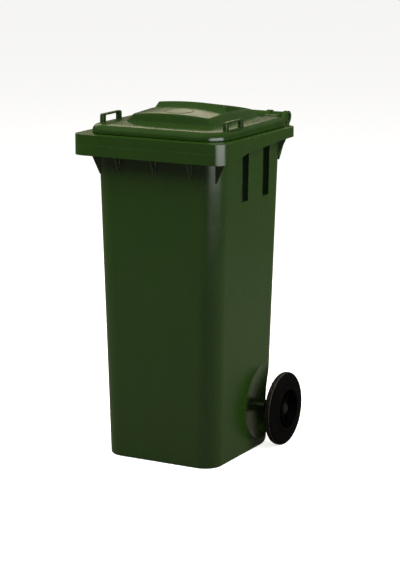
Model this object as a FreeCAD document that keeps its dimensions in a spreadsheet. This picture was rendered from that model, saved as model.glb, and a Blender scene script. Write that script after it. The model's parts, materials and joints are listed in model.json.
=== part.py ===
"""Two-wheel refuse bin with a hinged stepped lid, about 80 litres.

Frame: millimetres, +Z up, the front (comb side) faces -Y and +X is to the bin's left hand when
it is pulled. The origin is on the ground, under the middle of the whole bin.
"""
import FreeCAD, Part
import math
import os

import Sketcher

from FreeCAD import Placement, Rotation, Vector

os.makedirs("parts", exist_ok=True)
doc = FreeCAD.newDocument("wheelie_bin")

# ---------------------------------------------------------------------------------------------
# Driving dimensions
# ---------------------------------------------------------------------------------------------
SIZES = [
    # whole bin
    ("overall_depth", 486, "comb face to the back of the handle"),
    ("rim_height", 863, "ground to the top of the rim"),
    ("collar_width", 446, "over the side skirts of the collar"),
    # tub
    ("mouth_width", 373, "outside of the tub wall at the rim"),
    ("foot_width", 329, "outside of the tub wall at the ground"),
    ("mouth_front_inset", 46.5, "comb face back to the tub wall at the rim"),
    ("foot_front_inset", 58, "comb face back to the tub wall at the ground"),
    ("mouth_rear_inset", 3, "rim's back edge in to the tub wall at the rim"),
    ("foot_rear_inset", 25, "rim's back edge in to the tub wall at the ground"),
    ("tub_wall", 4, "wall of the tub"),
    ("floor_wall", 5, "floor of the tub"),
    ("tub_corner", 50, "outside radius of the tub's upright corners"),
    ("foot_soft", 6, "radius round the tub's lower edge"),
    # collar
    ("collar_drop", 53.5, "height of the collar at the front"),
    ("collar_corner", 36, "outside radius of the collar's corners"),
    ("collar_wall", 5, "thickness of the collar's skirt"),
    ("flange_wall", 4, "thickness of the rim's flat top"),
    ("band_drop", 26, "height of the recessed upper band"),
    ("band_recess", 2, "depth of the upper band"),
    ("band_end", 13, "plain corner left at each end of the upper band"),
    ("skirt_step", 43, "comb face back to where the side skirt starts to climb"),
    ("skirt_knee", 141, "comb face back to the end of the skirt's first climb"),
    ("skirt_knee_rise", 17.5, "height of the skirt's first climb"),
    ("skirt_flat", 343, "comb face back to where the side skirt levels out"),
    ("skirt_rise", 28, "skirt's lower edge at the back above that at the front"),
    ("skirt_slope", 1, "height of the skirt's last climb, along its level part"),
    # gussets under the collar
    ("gusset_pitch", 104.5, "between neighbouring front gussets"),
    ("gusset_wall", 4, "thickness of a gusset"),
    ("gusset_drop", 108, "rim's top down to a front or corner gusset's lower end"),
    ("gusset_top", 13, "rim's top down to where a gusset's edge meets the skirt"),
    ("corner_gusset_inset", 63, "comb face back to the corner gussets"),
    ("rear_gusset_drop", 80, "rim's top down to a rear gusset's lower end"),
    ("rear_gusset_inset", 40, "rim's back edge forward to the rear gusset"),
    # recesses in the side walls
    ("recess_width", 37, "side recess, front to back"),
    ("recess_first", 196.5, "comb face back to the middle of the first side recess"),
    ("recess_pitch", 116, "between the two recesses of one side"),
    ("recess_low", 690, "ground to the lower end of a side recess"),
    ("recess_high", 845, "ground to the upper end of a side recess"),
    ("recess_floor", 165, "middle of the bin out to the floor of a side recess"),
    # running gear
    ("axle_inset", 28, "tub's back wall at the ground forward to the axle"),
    ("axle_radius", 10, "axle"),
    ("axle_fit", 0.05, "radial clearance of what turns or slides on the axle"),
    ("tyre_radius", 100, "tyre"),
    ("wheel_out", 227.7, "middle of the bin out to the wheel's outer face"),
    ("wheel_width", 32, "wheel, over the ring of the rim"),
    ("tyre_slope", 8, "wheel's face in to the top of the tyre's sidewall"),
    ("tyre_slope_drop", 4, "tread down to the top of the tyre's sidewall"),
    ("tread_edge", 11, "wheel's face in to the edge of the tread"),
    ("groove_edge", 13, "wheel's face in to a groove of the tread"),
    ("groove_width", 2, "groove of the tread"),
    ("groove_depth", 1.5, "groove of the tread"),
    ("ring_edge", 4, "thickness of the rim's ring at its edges"),
    ("ring_middle", 5, "thickness of the rim's ring at its web"),
    ("web_thick", 4, "web and spokes of the rim"),
    ("spoke_inner_inset", 3, "hub's inner face out to a spoke"),
    ("spoke_outer_inset", 1, "hub's outer face in to a spoke"),
    ("spoke_root", 2, "depth to which a spoke runs into the hub"),
    ("spoke_end", 3, "tyre's seat in to a spoke's end"),
    ("tyre_seat", 58, "radius where the tyre sits on the rim"),
    ("arch_floor", 142, "middle of the bin out to the deepest part of a wheel arch"),
    ("arch_ball", 220, "radius of the dished wheel arch"),
    ("arch_front", 32, "axle forward to the middle of a wheel arch"),
    ("arch_up", 18, "axle up to the middle of a wheel arch"),
    ("boss_radius", 16, "axle boss in the wheel arch"),
    ("boss_out", 160, "middle of the bin out to the end of the axle boss"),
    ("heel_radius", 80, "rounding under the tub's back edge, for tilting"),
    ("channel_front", 65, "tub's back wall at the ground forward to the axle channel's wall"),
    ("channel_high", 140, "ground to the top of the axle channel"),
    ("rib_out", 50, "middle of the bin out to a channel rib"),
    ("spacer_gap", 0.2, "end play beside a spacer or washer"),
    ("spacer_length", 26, "spacer sleeve"),
    ("spacer_radius", 13, "outside of a spacer sleeve"),
    ("washer_thick", 2, "flat washer"),
    ("hub_length", 24, "wheel hub"),
    ("bush_radius", 14, "outside of a hub bush"),
    ("washer_radius", "=bush_radius + 2", "flat washer, which overlaps the hub round the bush"),
    ("hub_radius", "=bush_radius + 6", "wheel hub"),
    ("bush_length", 9, "hub bush"),
    ("cap_height", 6, "axle cap"),
    ("cap_top", 2, "top wall of an axle cap"),
    ("cap_side", 4, "side wall of an axle cap"),
    ("cap_slope", 3, "height of an axle cap's sloping shoulder"),
    ("end_chamfer", 1, "chamfer on the ends of the axle and of the hinge pins"),
    # hinge and handle
    ("hinge_rise", 15, "rim's top up to the hinge axis"),
    ("handle_reach", 47, "rim's back edge back to the hinge axis"),
    ("handle_radius", 13, "handle bar and lid knuckles"),
    ("lug_radius", 16, "round end of a lug"),
    ("lug_out", 171, "middle of the bin out to the outer lug's outer face"),
    ("lug_wall", 13, "thickness of a lug"),
    ("lug_drop", 93, "rim's top down to the foot of a lug"),
    ("lug_under", 40, "degrees below level where a lug's lower edge meets its round end"),
    ("lug_over", 70, "degrees above level where a lug's upper edge meets its round end"),
    ("knuckle_length", 36.4, "lid knuckle"),
    ("knuckle_gap", 0.3, "end play beside a lid knuckle"),
    ("pin_radius", 6, "hinge pin"),
    ("pin_fit", 0.05, "radial clearance of the hinge pin"),
    ("pin_grip", 18, "length of the pin inside the handle bar"),
    ("pin_head", 11.5, "radius of the pin's head"),
    ("pin_head_thick", 5, "thickness of the pin's head"),
    ("pin_head_rim", 3.5, "width of the rim round the dish in the pin's head"),
    ("pin_head_floor", 2, "depth left under the dish in the pin's head"),
    ("core_hole", 3.5, "radius of the core hole under the pin"),
    ("core_depth", 6, "depth of the core hole"),
    ("core_offset", 14, "core hole from the hinge axis, forward and down"),
    # lid
    ("lid_side_inset", 23, "collar's side in to the lid's side"),
    ("lid_front_inset", 29, "comb face back to the lid's front"),
    ("lid_rear_inset", 2, "rim's back edge forward to the lid's back"),
    ("lid_gap", 0.8, "rim's top up to the lid's edge"),
    ("lid_wall", 3.5, "wall of the lid"),
    ("lid_corner", 60, "outside radius of the lid's front corners"),
    ("lid_rear_corner", 40, "outside radius of the lid's rear corners"),
    ("lid_shoulder", 14, "radius between the lid's side and deck"),
    ("deck_rise", 24, "rim's top up to the lid's deck"),
    ("step_front", 123, "comb face back to the first step"),
    ("step_foot", 132, "half width of the first step at the deck"),
    ("step_half", 113, "half width of the first step at its top edge"),
    ("step_rise", 44.5, "rim's top up to the first step's top edge, at its front"),
    ("step_rise_mid", 49, "the same, at the second step's front"),
    ("step_rise_rear", 42, "the same, at the back"),
    ("step_crown", 6, "crown of the first step at its front"),
    ("step_crown_mid", 9, "crown of the first step at the second step's front"),
    ("top_front", 230, "comb face back to the second step"),
    ("top_foot", 106, "half width of the second step at its foot"),
    ("top_half", 101, "half width of the second step at its top edge"),
    ("top_half_rear", 96, "the same, at the back"),
    ("top_rise", 65, "rim's top up to the second step's top edge, at its front"),
    ("top_rise_rear", 45, "the same, at the back"),
    ("top_crown", 5, "crown of the second step"),
    ("steps_rear_inset", 38, "lid's back forward to the back of the steps"),
    ("step_lean", 7, "first step's foot back to its top edge"),
    ("top_lean", 15, "second step's foot back to its top edge"),
    ("end_sink", 0.2, "front and back of the first step sunk below the deck"),
    ("end_inset", 1, "taper across the front and back of a step"),
    ("end_crown", 0.5, "crown of the first step where it leaves the deck"),
    ("top_sink", 1.5, "front and back of the second step sunk below the first"),
    ("arm_thick", 15.6, "arm between a lid knuckle and the lid"),
    # lid handles
    ("grip_out", 181, "middle of the bin out to the middle of a lid handle"),
    ("grip_width", 10, "lid handle, across"),
    ("grip_front", 88, "comb face back to a lid handle's front"),
    ("grip_length", 94, "lid handle, front to back"),
    ("grip_leg", 15, "leg of a lid handle, front to back"),
    ("grip_high", 20.5, "lid handle above the deck"),
    ("grip_bar", 5, "thickness of a lid handle's bar"),
    ("grip_soft", 5, "radius over the ends of a lid handle"),
    ("scoop_radius", 150, "finger scoop beside a lid handle"),
    ("scoop_depth", 7, "finger scoop below the deck"),
]

sheet = doc.addObject("Spreadsheet::Sheet", "Sizes")
for row, (alias, value, note) in enumerate(SIZES, 1):
    sheet.set(f"A{row}", note)
    sheet.set(f"B{row}", str(value))
    sheet.setAlias(f"B{row}", alias)
doc.recompute()


def s(text):
    """An expression in which each bare alias is looked up on the sheet."""
    words = "".join(c if c.isalnum() or c == "_" else " " for c in text).split()
    for word in sorted(set(words) & ALIASES, key=len, reverse=True):
        text = replace_word(text, word, "Sizes." + word)
    return text


def replace_word(text, word, new):
    """text with every whole-word use of word replaced, leaving words that are already done."""
    out = ""
    token = ""
    for c in text + " ":
        if c.isalnum() or c in "_.":
            token += c
            continue
        out += (new if token == word else token) + c
        token = ""
    return out[:-1]


ALIASES = {alias for alias, _, _ in SIZES}


def number(text):
    """The value of an expression, in mm."""
    return float(sheet.evalExpression(s(text)))


# Places that several pieces share, as expressions of the sheet
FRONT = "(-overall_depth / 2)"
AXIS_Y = "(overall_depth / 2 - lug_radius)"
AXIS_Z = "(rim_height + hinge_rise)"
RIM_REAR = f"({AXIS_Y} - handle_reach)"
FOOT_REAR = f"({RIM_REAR} - foot_rear_inset)"
AXLE_Y = f"({FOOT_REAR} - axle_inset)"
AXLE_Z = "tyre_radius"
LID_REAR = f"({RIM_REAR} - lid_rear_inset)"
DECK_Z = "(rim_height + deck_rise)"
SPACER_IN = "(boss_out + spacer_gap)"
WASHER_IN = f"({SPACER_IN} + spacer_length + spacer_gap)"
HUB_IN = f"({WASHER_IN} + washer_thick + spacer_gap)"
HUB_OUT = f"({HUB_IN} + hub_length)"
WASHER_OUT = f"({HUB_OUT} + spacer_gap)"
CAP_IN = f"({WASHER_OUT} + washer_thick)"
LUG_IN = "(lug_out - lug_wall)"
INNER_LUG_OUT = f"({LUG_IN} - knuckle_length - 2 * knuckle_gap)"
# How far a cutting shape runs past the faces it cuts, and where a slope leaves it less room
CLEAR = "5"
SKIM = "1"

# ---------------------------------------------------------------------------------------------
# Helpers
# ---------------------------------------------------------------------------------------------


def bind(thing, **expressions):
    """Ties properties to expressions; a double underscore stands for a dot."""
    for prop, text in expressions.items():
        thing.setExpression(prop.replace("__", "."), s(text))


def box(name, x, y, z):
    """A block between the low and high expressions of each axis."""
    block = doc.addObject("Part::Box", name)
    bind(block, Length=f"({x[1]}) - ({x[0]})", Width=f"({y[1]}) - ({y[0]})")
    bind(block, Height=f"({z[1]}) - ({z[0]})")
    bind(block, Placement__Base__x=x[0], Placement__Base__y=y[0], Placement__Base__z=z[0])
    return block


def along_x(thing, x0, y, z):
    """Lays a cylinder or cone along +X, starting at x0."""
    thing.Placement = Placement(Vector(), Rotation(Vector(0, 1, 0), 90))
    bind(thing, Placement__Base__x=x0, Placement__Base__y=y, Placement__Base__z=z)
    return thing


def rod(name, radius, x0, x1, y, z):
    """A cylinder along X."""
    part = doc.addObject("Part::Cylinder", name)
    bind(part, Radius=radius, Height=f"({x1}) - ({x0})")
    return along_x(part, x0, y, z)


def cone(name, r0, r1, x0, x1, y, z):
    """A cone along X, of radius r0 at x0 and r1 at x1."""
    part = doc.addObject("Part::Cone", name)
    bind(part, Radius1=r0, Radius2=r1, Height=f"({x1}) - ({x0})")
    return along_x(part, x0, y, z)


def join(name, parts):
    """One solid from several."""
    part = doc.addObject("Part::MultiFuse", name)
    part.Shapes = parts
    part.Refine = True
    return part


def cut(name, base, tool):
    """base with tool taken away."""
    part = doc.addObject("Part::Cut", name)
    part.Base = base
    part.Tool = tool
    part.Refine = True
    return part


def origin_part(body, role):
    """One of a body's own origin planes or axes."""
    return next(f for f in body.Origin.OriginFeatures if f.Role == role)


def body_sketch(body, name, role, offset="0"):
    """A sketch on one of a body's origin planes, moved out by offset."""
    sketch = body.newObject("Sketcher::SketchObject", name)
    sketch.AttachmentSupport = [(origin_part(body, role), "")]
    sketch.MapMode = "FlatFace"
    if offset != "0":
        bind(sketch, AttachmentOffset__Base__z=offset)
    return sketch


def pin_point(sketch, edge, end, x, y):
    """Holds an end of an edge at two expressions, measured from the sketch's origin."""
    for kind, text in (("DistanceX", x), ("DistanceY", y)):
        index = sketch.addConstraint(Sketcher.Constraint(kind, -1, 1, edge, end, number(text)))
        sketch.setExpression(f"Constraints[{index}]", s(text))


def outline(sketch, points):
    """A closed polygon through points given as pairs of expressions."""
    at = [Vector(number(x), number(y), 0) for x, y in points]
    count = len(at)
    for i in range(count):
        sketch.addGeometry(Part.LineSegment(at[i], at[(i + 1) % count]))
    for i in range(count):
        sketch.addConstraint(Sketcher.Constraint("Coincident", i, 2, (i + 1) % count, 1))
        pin_point(sketch, i, 1, *points[i])
    return sketch


def edge_names(feature, test):
    """Names of a feature's edges that pass a test."""
    return [f"Edge{i}" for i, edge in enumerate(feature.Shape.Edges, 1) if test(edge)]


def is_upright(edge):
    """Whether an edge climbs more than it leans."""
    run = edge.Vertexes[-1].Point - edge.Vertexes[0].Point
    return abs(run.z) > 3 * math.hypot(run.x, run.y)


def is_at_height(height):
    """A test for edges that lie at one height."""
    return lambda edge: all(abs(v.Z - height) < 0.01 for v in edge.Vertexes)


def is_upright_at(front):
    """A test for upright edges of the front half or, if front is false, of the rear half."""
    return lambda edge: is_upright(edge) and (edge.Vertexes[0].Y < 0) == front


def soften(body, name, feature, test, radius):
    """Rounds the edges of a feature that pass a test."""
    doc.recompute()
    fillet = body.newObject("PartDesign::Fillet", name)
    fillet.Base = (feature, edge_names(feature, test))
    bind(fillet, Radius=radius)
    return fillet


def tapered_block(name, low, high, front_corner, rear_corner=None):
    """A four-sided block with round upright corners, as a body.

    low and high are (height, half width, front, rear) expressions. The rear corners are as round
    as the front ones unless they have a radius of their own.
    """
    body = doc.addObject("PartDesign::Body", name)
    wedge = body.newObject("PartDesign::AdditiveWedge", name + "Wedge")
    # On the XZ plane the wedge's own Y runs up and its Z runs forward.
    wedge.AttachmentSupport = [(origin_part(body, "XZ_Plane"), "")]
    wedge.MapMode = "FlatFace"
    low_z, low_half, low_front, low_rear = low
    high_z, high_half, high_front, high_rear = high
    bind(wedge, Ymin=low_z, Ymax=high_z)
    bind(wedge, Xmin=f"-({low_half})", Xmax=low_half, Zmin=f"-({low_rear})", Zmax=f"-({low_front})")
    bind(wedge, X2min=f"-({high_half})", X2max=high_half)
    bind(wedge, Z2min=f"-({high_rear})", Z2max=f"-({high_front})")
    rounded = soften(body, name + "Corners", wedge, is_upright_at(True), front_corner)
    rear_corner = rear_corner or front_corner
    return body, soften(body, name + "RearCorners", rounded, is_upright_at(False), rear_corner)


def crowned_section(body, name, y, foot, foot_z, half, edge_z, crown):
    """A section across the lid: straight flanks under a shallow arc."""
    sketch = body_sketch(body, name, "XZ_Plane", f"-({y})")
    points = [(f"-({foot})", foot_z), (foot, foot_z), (half, edge_z), (f"-({half})", edge_z)]
    at = [Vector(number(px), number(pz), 0) for px, pz in points]
    middle = Vector(0, number(f"({edge_z}) + ({crown})"), 0)
    sketch.addGeometry(Part.LineSegment(at[0], at[1]))
    sketch.addGeometry(Part.LineSegment(at[1], at[2]))
    sketch.addGeometry(Part.LineSegment(at[3], at[0]))
    arc = Part.Arc(at[2], middle, at[3])
    sketch.addGeometry(arc)
    for first, second in (((0, 2), (1, 1)), ((1, 2), (3, 1)), ((3, 2), (2, 1)), ((2, 2), (0, 1))):
        sketch.addConstraint(Sketcher.Constraint("Coincident", *first, *second))
    for edge, end, spot in ((0, 1, 0), (1, 1, 1), (1, 2, 2), (2, 1, 3)):
        pin_point(sketch, edge, end, *points[spot])
    radius = f"(({half}) ^ 2 + ({crown}) ^ 2) / (2 * ({crown}))"
    index = sketch.addConstraint(Sketcher.Constraint("Radius", 3, number(radius)))
    sketch.setExpression(f"Constraints[{index}]", s(radius))
    return sketch


def crowned_block(name, sections):
    """A block lofted front to back through crowned sections, as a body."""
    body = doc.addObject("PartDesign::Body", name)
    cuts = [crowned_section(body, f"{name}Section{i}", *spec) for i, spec in enumerate(sections, 1)]
    doc.recompute()
    loft = body.newObject("PartDesign::AdditiveLoft", name + "Loft")
    loft.Profile = cuts[0]
    loft.Sections = cuts[1:]
    loft.Ruled = True
    doc.recompute()
    return body


def upright_plate(name, points, thickness, middle_x):
    """A plate across X, from an outline in Y and Z."""
    sketch = doc.addObject("Sketcher::SketchObject", name + "Outline")
    sketch.Placement = Placement(Vector(), Rotation(Vector(1, 1, 1), 120))
    bind(sketch, Placement__Base__x=middle_x)
    outline(sketch, points)
    return extrude(name, sketch, Vector(1, 0, 0), thickness)


def extrude(name, sketch, direction, thickness):
    """A sketch made solid, half its thickness to each side."""
    plate = doc.addObject("Part::Extrusion", name)
    plate.Base = sketch
    plate.DirMode = "Custom"
    plate.Dir = direction
    plate.Solid = True
    plate.Symmetric = True
    bind(plate, LengthFwd=thickness)
    return plate


def turned(name, points, side, y, z):
    """A turned piece about a line along X; points are (distance out from X = 0, radius)."""
    body = doc.addObject("PartDesign::Body", name)
    sketch = body_sketch(body, name + "Profile", "XY_Plane")
    outline(sketch, [(f"{side} * ({x})", radius) for x, radius in points])
    turn = body.newObject("PartDesign::Revolution", name + "Turn")
    turn.Profile = sketch
    turn.ReferenceAxis = (sketch, ["H_Axis"])
    turn.Angle = 360
    bind(body, Placement__Base__y=y, Placement__Base__z=z)
    doc.recompute()
    return body, turn


def ring(name, x0, x1, bore, radius, side, y=AXLE_Y, z=AXLE_Z):
    """A plain ring about the axle's line or another line along X."""
    points = [(x0, bore), (x1, bore), (x1, radius), (x0, radius)]
    return turned(name, points, side, y, z)[0]


SIDES = (("left", 1), ("right", -1))

# ---------------------------------------------------------------------------------------------
# Tub: one moulding with its collar, gussets, wheel arches, lugs and handle bar
# ---------------------------------------------------------------------------------------------


def tub_sections(inset, low_z, high_z):
    """Low and high sections of the tub, inset from its outside."""
    low = (
        low_z,
        f"foot_width / 2 - ({inset})",
        f"{FRONT} + foot_front_inset + ({inset})",
        f"{FOOT_REAR} - ({inset})",
    )
    high = (
        high_z,
        f"mouth_width / 2 - ({inset})",
        f"{FRONT} + mouth_front_inset + ({inset})",
        f"{RIM_REAR} - mouth_rear_inset - ({inset})",
    )
    return low, high


def arch_ball(name, side, inset):
    """The dished space of a wheel arch, or with an inset the same space with its wall."""
    ball = doc.addObject("Part::Sphere", name)
    bind(ball, Radius=f"arch_ball + ({inset})")
    bind(ball, Placement__Base__x=f"{side} * (arch_floor + arch_ball)")
    bind(ball, Placement__Base__y=f"{AXLE_Y} - arch_front", Placement__Base__z=f"{AXLE_Z} + arch_up")
    return ball


def heel():
    """What is trimmed off the tub's lower back edge so that the bin can tilt."""
    centre = (f"{FOOT_REAR} - heel_radius", "heel_radius")
    across = ("-foot_width", "foot_width")
    corner = box("HeelCorner", across, (centre[0], f"{FOOT_REAR} + {CLEAR}"), (f"-{CLEAR}", centre[1]))
    return cut("Heel", corner, rod("HeelRound", "heel_radius", *across, *centre))


def make_collar():
    """The rim's flat top with its skirt, open underneath."""
    low = "rim_height - collar_drop"
    outer, _ = tapered_block(
        "CollarOutside",
        (low, "collar_width / 2", FRONT, RIM_REAR),
        ("rim_height", "collar_width / 2", FRONT, RIM_REAR),
        "collar_corner",
    )
    inside = (
        "collar_width / 2 - collar_wall",
        f"{FRONT} + collar_wall",
        f"{RIM_REAR} - collar_wall",
    )
    inner, _ = tapered_block(
        "CollarInside",
        (f"{low} - {CLEAR}", *inside),
        ("rim_height - flange_wall", *inside),
        "collar_corner - collar_wall",
    )
    # The skirt is deep across the front and climbs to a shallow edge along the sides.
    under = upright_plate(
        "SkirtTrim",
        [
            (f"{FRONT} + skirt_step", f"{low} - {CLEAR}"),
            (f"{FRONT} + skirt_step", low),
            (f"{FRONT} + skirt_knee", f"{low} + skirt_knee_rise"),
            (f"{FRONT} + skirt_flat", f"{low} + skirt_rise - skirt_slope"),
            (f"{RIM_REAR} + {CLEAR}", f"{low} + skirt_rise"),
            (f"{RIM_REAR} + {CLEAR}", f"{low} - {CLEAR}"),
        ],
        f"collar_width + 2 * {CLEAR}",
        "0",
    )
    band = box(
        "UpperBand",
        ("band_end - collar_width / 2", "collar_width / 2 - band_end"),
        (f"{FRONT} - {CLEAR}", f"{FRONT} + band_recess"),
        ("rim_height - band_drop", f"rim_height + {CLEAR}"),
    )
    return cut("Collar", outer, join("CollarCuts", [inner, under, band]))


def make_gussets():
    """Thin triangular plates between the collar and the tub wall."""
    parts = []
    high = "rim_height - flange_wall / 2"
    skirt = f"{FRONT} + collar_wall / 2"
    wall = f"{FRONT} + mouth_front_inset + tub_wall / 2"
    points = [
        (skirt, high),
        (skirt, "rim_height - gusset_top"),
        (wall, "rim_height - gusset_drop"),
        (f"{wall} + tub_wall", "rim_height - gusset_drop"),
        (f"{wall} + tub_wall", high),
    ]
    for tag, step in (("Left", 1), ("Middle", 0), ("Right", -1)):
        parts.append(upright_plate("Gusset" + tag, points, "gusset_wall", f"{step} * gusset_pitch"))

    # The corner gussets start from the round of the tub's corner.
    across = "(tub_corner + mouth_front_inset - corner_gusset_inset)"
    corner_wall = f"mouth_width / 2 - tub_corner + sqrt(tub_corner ^ 2 - {across} ^ 2)"
    corner_y = f"{FRONT} + corner_gusset_inset"
    side_wall = "mouth_width / 2 - tub_wall / 2"
    rear_y = f"{RIM_REAR} - rear_gusset_inset"
    for tag, side in SIDES:
        parts.append(
            side_gusset("CornerGusset_" + tag, side, corner_y, corner_wall, "gusset_top", "gusset_drop")
        )
        parts.append(
            side_gusset("RearGusset_" + tag, side, rear_y, side_wall, "flange_wall", "rear_gusset_drop")
        )
    return parts


def side_gusset(name, side, y, wall, top, drop):
    """A gusset that runs sideways from the tub to the side skirt."""
    sketch = doc.addObject("Sketcher::SketchObject", name + "Outline")
    sketch.Placement = Placement(Vector(), Rotation(Vector(1, 0, 0), 90))
    bind(sketch, Placement__Base__y=y)
    high = "rim_height - flange_wall / 2"
    skirt = "collar_width / 2 - collar_wall / 2"
    points = [
        (f"{wall} - tub_wall", high),
        (f"{wall} - tub_wall", f"rim_height - {drop}"),
        (f"{wall} - tub_wall / 2", f"rim_height - {drop}"),
        (skirt, f"rim_height - {top}"),
        (skirt, high),
    ]
    outline(sketch, [(f"{side} * ({x})", z) for x, z in points])
    return extrude(name, sketch, Vector(0, 1, 0), "gusset_wall")


def make_lugs():
    """Four lugs behind the rim, with the handle bar between the inner two."""
    parts = []
    points = [
        (f"{RIM_REAR} - mouth_rear_inset - tub_wall", "rim_height - lug_drop"),
        (f"{AXIS_Y} + lug_radius * cos(lug_under)", f"{AXIS_Z} - lug_radius * sin(lug_under)"),
        (f"{AXIS_Y} - lug_radius * cos(lug_over)", f"{AXIS_Z} + lug_radius * sin(lug_over)"),
        (RIM_REAR, "rim_height"),
        (f"{RIM_REAR} - mouth_rear_inset - tub_wall / 2", "rim_height - flange_wall / 2"),
    ]
    for tag, side in SIDES:
        for kind, outer in (("Outer", "lug_out"), ("Inner", INNER_LUG_OUT)):
            name = f"{kind}Lug_{tag}"
            middle = f"{side} * ({outer} - lug_wall / 2)"
            parts.append(upright_plate(name, points, "lug_wall", middle))
            ends = sorted([f"{side} * ({outer})", f"{side} * ({outer} - lug_wall)"], key=number)
            parts.append(rod(name + "Eye", "lug_radius", *ends, AXIS_Y, AXIS_Z))
    parts.append(rod("HandleBar", "handle_radius", f"-{INNER_LUG_OUT}", INNER_LUG_OUT, AXIS_Y, AXIS_Z))
    return parts


def make_tub():
    """The whole tub moulding."""
    outside, rounded = tapered_block("TubOutside", *tub_sections("0", "0", "rim_height"), "tub_corner")
    soften(outside, "TubFoot", rounded, is_at_height(0), "foot_soft")
    inside_ends = tub_sections("tub_wall", "floor_wall", f"rim_height + {SKIM}")
    inside, _ = tapered_block("TubInside", *inside_ends, "tub_corner - tub_wall")

    # What the load space leaves round the wheel arches and over the axle channel
    keep = [arch_ball("ArchWall_" + tag, side, "tub_wall") for tag, side in SIDES]
    keep.append(
        box(
            "ChannelWall",
            ("-foot_width", "foot_width"),
            (f"{FOOT_REAR} - channel_front - tub_wall", f"{RIM_REAR} + {CLEAR}"),
            (f"-{CLEAR}", "channel_high + tub_wall"),
        )
    )
    middles = [f"{FRONT} + recess_first + {step} * recess_pitch" for step in (0, 1)]
    for tag, side in SIDES:
        for place, middle in enumerate(middles, 1):
            keep.append(recess_box(f"RecessWall{place}_{tag}", side, middle, "tub_wall"))
    load_space = cut("LoadSpace", inside, join("LoadSpaceKeepOut", keep))

    shell = join("TubWithCollar", [outside, make_collar(), *make_gussets(), *make_lugs()])

    tools = [load_space, heel()]
    for tag, side in SIDES:
        tools.append(arch_ball("ArchSpace_" + tag, side, "0"))
        for place, middle in enumerate(middles, 1):
            tools.append(recess_box(f"Recess{place}_{tag}", side, middle, "0"))
        tools.extend(hinge_bores(tag, side))
    plates = ["-rib_out", "rib_out"]
    edges = ["tub_wall - arch_floor", *plates, "arch_floor - tub_wall"]
    for i in range(3):
        x0 = edges[i] + (" + tub_wall / 2" if i else "")
        x1 = edges[i + 1] + (" - tub_wall / 2" if i < 2 else "")
        y = (f"{FOOT_REAR} - channel_front", f"{RIM_REAR} + {CLEAR}")
        tools.append(box(f"Channel{i + 1}", (x0, x1), y, (f"-{CLEAR}", "channel_high")))
    hollow = cut("TubHollow", shell, join("TubCuts", tools))

    bosses = []
    for tag, side in SIDES:
        ends = sorted([f"{side} * (arch_floor - tub_wall / 2)", f"{side} * boss_out"], key=number)
        bosses.append(rod("AxleBoss_" + tag, "boss_radius", *ends, AXLE_Y, AXLE_Z))
    whole = join("TubWithBosses", [hollow, *bosses])
    ends = (f"-boss_out - {CLEAR}", f"boss_out + {CLEAR}")
    bore = rod("AxleBore", "axle_radius + axle_fit", *ends, AXLE_Y, AXLE_Z)
    return cut("Tub", whole, bore)


def recess_box(name, side, middle, inset):
    """A side recess, or with an inset the same space with its wall."""
    floor = f"recess_floor - ({inset})"
    outer = f"mouth_width / 2 + 2 * {CLEAR}"
    x = (floor, outer) if side > 0 else (f"-({outer})", f"-({floor})")
    half = f"recess_width / 2 + ({inset})"
    y = (f"{middle} - ({half})", f"{middle} + ({half})")
    return box(name, x, y, (f"recess_low - ({inset})", f"recess_high + ({inset})"))


def hinge_bores(tag, side):
    """Bore for the hinge pin, seat for its head, and the core hole below it."""
    inner = f"{INNER_LUG_OUT} - pin_grip - {SKIM}"
    outer = f"lug_out + {CLEAR}"
    spans = [
        ("PinBore_", "pin_radius + pin_fit", inner, outer, "0"),
        ("PinSeat_", "pin_head + 2 * pin_fit", "lug_out - pin_head_thick", outer, "0"),
        ("CoreHole_", "core_hole", "lug_out - core_depth", outer, "core_offset"),
    ]
    bores = []
    for name, radius, near, far, offset in spans:
        ends = (near, far) if side > 0 else (f"-({far})", f"-({near})")
        bores.append(rod(name + tag, radius, *ends, f"{AXIS_Y} - {offset}", f"{AXIS_Z} - {offset}"))
    return bores


# ---------------------------------------------------------------------------------------------
# Lid: one moulding with its steps, handles and knuckles
# ---------------------------------------------------------------------------------------------


def lid_skirt(name, inset, low_z, high_z):
    """The lid's base with upright sides."""
    half = f"collar_width / 2 - lid_side_inset - ({inset})"
    front = f"{FRONT} + lid_front_inset + ({inset})"
    rear = f"{LID_REAR} - ({inset})"
    low = (low_z, half, front, rear)
    high = (high_z, half, front, rear)
    return tapered_block(name, low, high, f"lid_corner - ({inset})", f"lid_rear_corner - ({inset})")


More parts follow.
